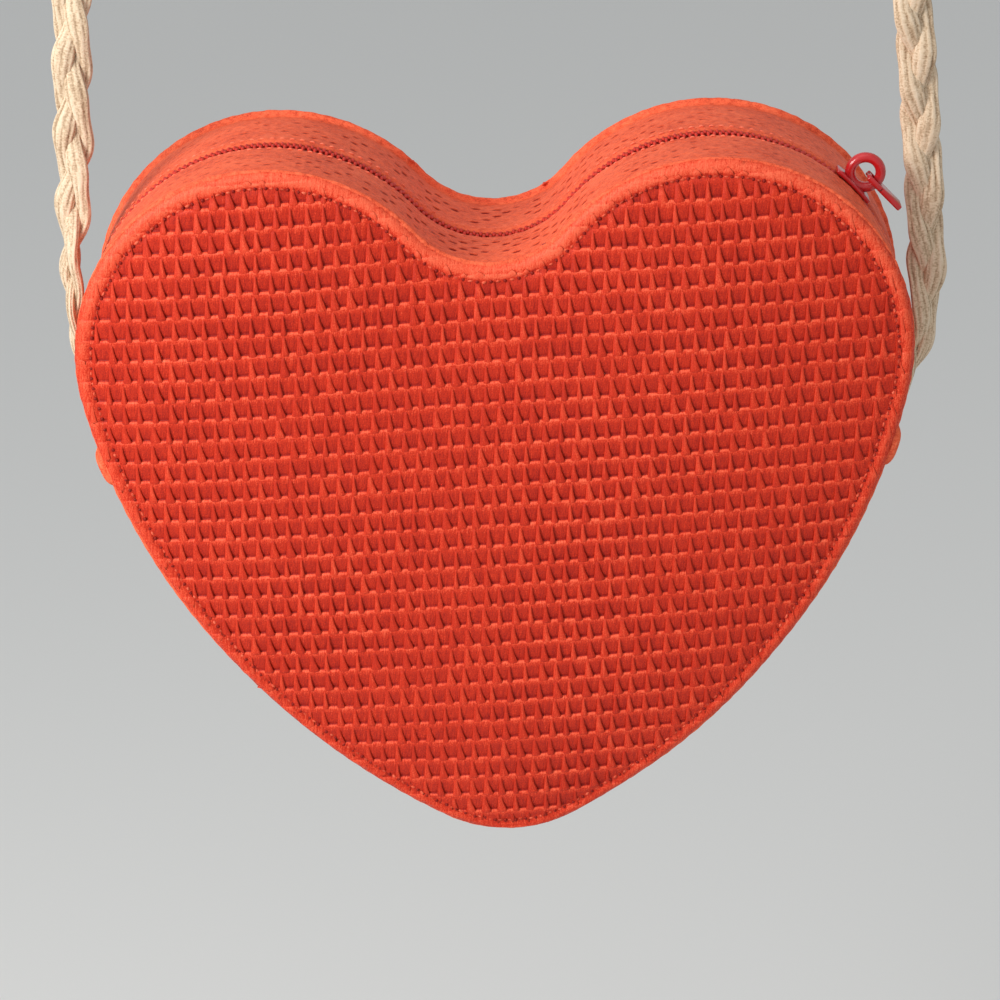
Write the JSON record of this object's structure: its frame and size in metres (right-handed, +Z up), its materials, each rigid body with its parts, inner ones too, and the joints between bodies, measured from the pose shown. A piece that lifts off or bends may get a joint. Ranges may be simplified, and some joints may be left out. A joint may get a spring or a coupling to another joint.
{
  "type": "crossbody bag",
  "caption": "Heart-shaped woven straw crossbody bag with a zip over both lobes, a sewn gusset, a lined inside and a braided straw strap it hangs by.",
  "frame": {"origin": "under the top of the braided strap, where a peg or hook carries the hanging bag, in the middle of the bag's width and depth", "axes": "+Z up, +X to the right seen from the front, +Y to the back; the front of the bag faces -Y"},
  "size_m": [0.2206, 0.0566, 0.4547],
  "materials": {
    "straw_panel": "coarse plain-woven paper straw, matt",
    "straw_gusset": "fine woven straw cloth, matt",
    "lining": "plain lining cloth",
    "zip_tape": "woven zip tape",
    "zip_coil": "dyed plastic coil",
    "zip_slider": "glossy dyed lacquer",
    "strap_braid": "natural straw, braided"
  },
  "bodies": {
    "strap": {"strap": "strap_braid", "left_strap_end": "strap_braid", "right_strap_end": "strap_braid"},
    "bag": {"front_panel_lower": "straw_panel", "back_panel": "straw_panel", "back_zip_gusset": "straw_gusset", "bottom_gusset": "straw_gusset", "left_seam_band": "straw_gusset", "right_seam_band": "straw_gusset", "front_lining_lower": "lining", "back_lining": "lining", "back_zip_lining": "lining", "bottom_lining": "lining", "back_zip_tape": "zip_tape", "back_zip_coil": "zip_coil"},
    "flap": {"front_panel_upper": "straw_panel", "front_zip_gusset": "straw_gusset", "front_lining_upper": "lining", "front_zip_lining": "lining", "front_zip_tape": "zip_tape", "front_zip_coil": "zip_coil"},
    "slider": {"slider": "zip_slider"},
    "pull": {"pull_tab": "zip_slider"}
  },
  "joints": [
    {"name": "bag_swing", "type": "hinge", "parent": "strap", "child": "bag", "pos_m": [0, 0, -0.346], "axis": [1, 0, 0], "range_deg": [-60, 60]},
    {"name": "mouth_opening", "type": "hinge", "parent": "bag", "child": "flap", "pos_m": [0, -0.0283, -0.346], "axis": [1, 0, 0], "range_deg": [0, 25], "deforming": ["front_zip_tape", "front_zip_coil"]},
    {"name": "slider_run", "type": "hinge", "parent": "bag", "child": "slider", "pos_m": [0.053, 0, -0.32], "axis": [0, -1, 0], "range_deg": [0, 86]},
    {"name": "pull_swing", "type": "hinge", "parent": "slider", "child": "pull", "pos_m": [0.09008, 0, -0.28542], "axis": [0, -1, 0], "range_deg": [0, 170]}
  ]
}
